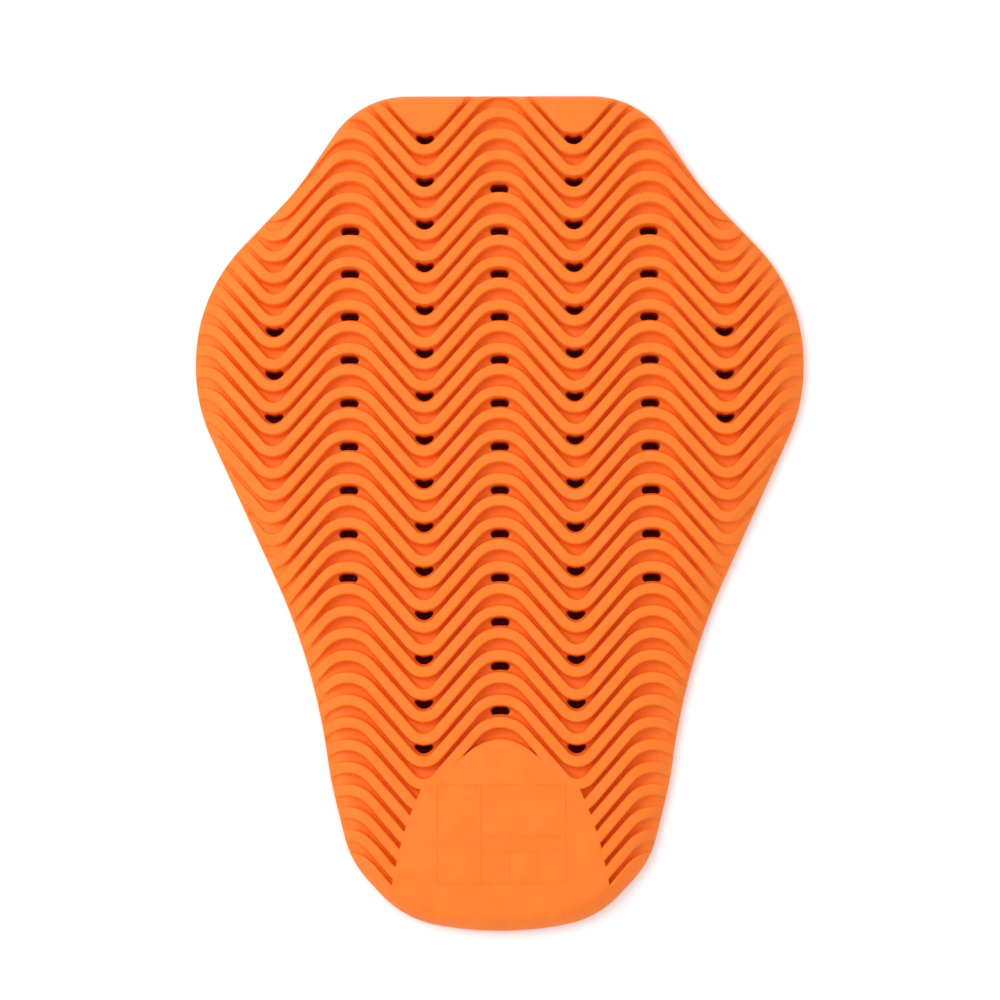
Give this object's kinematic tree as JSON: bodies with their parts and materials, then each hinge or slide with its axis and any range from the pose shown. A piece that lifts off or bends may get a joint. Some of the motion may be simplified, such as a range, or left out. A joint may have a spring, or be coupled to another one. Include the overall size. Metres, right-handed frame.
{
  "type": "back protector insert",
  "caption": "Flat moulded foam back pad with wavy ribs, rows of vent slots, a rolled edge and a smooth panel at the waist.",
  "frame": {"origin": "middle of the pad's bounding box, on the plane of its flat back face", "axes": "+X across the shoulders, +Y from the waist towards the neck, +Z out of the back face to the ribbed front"},
  "size_m": [0.302, 0.414, 0.0133],
  "materials": {
    "foam": "satin moulded polyurethane foam"
  },
  "bodies": {
    "root": {"protector_pad": "foam"}
  },
  "joints": []
}
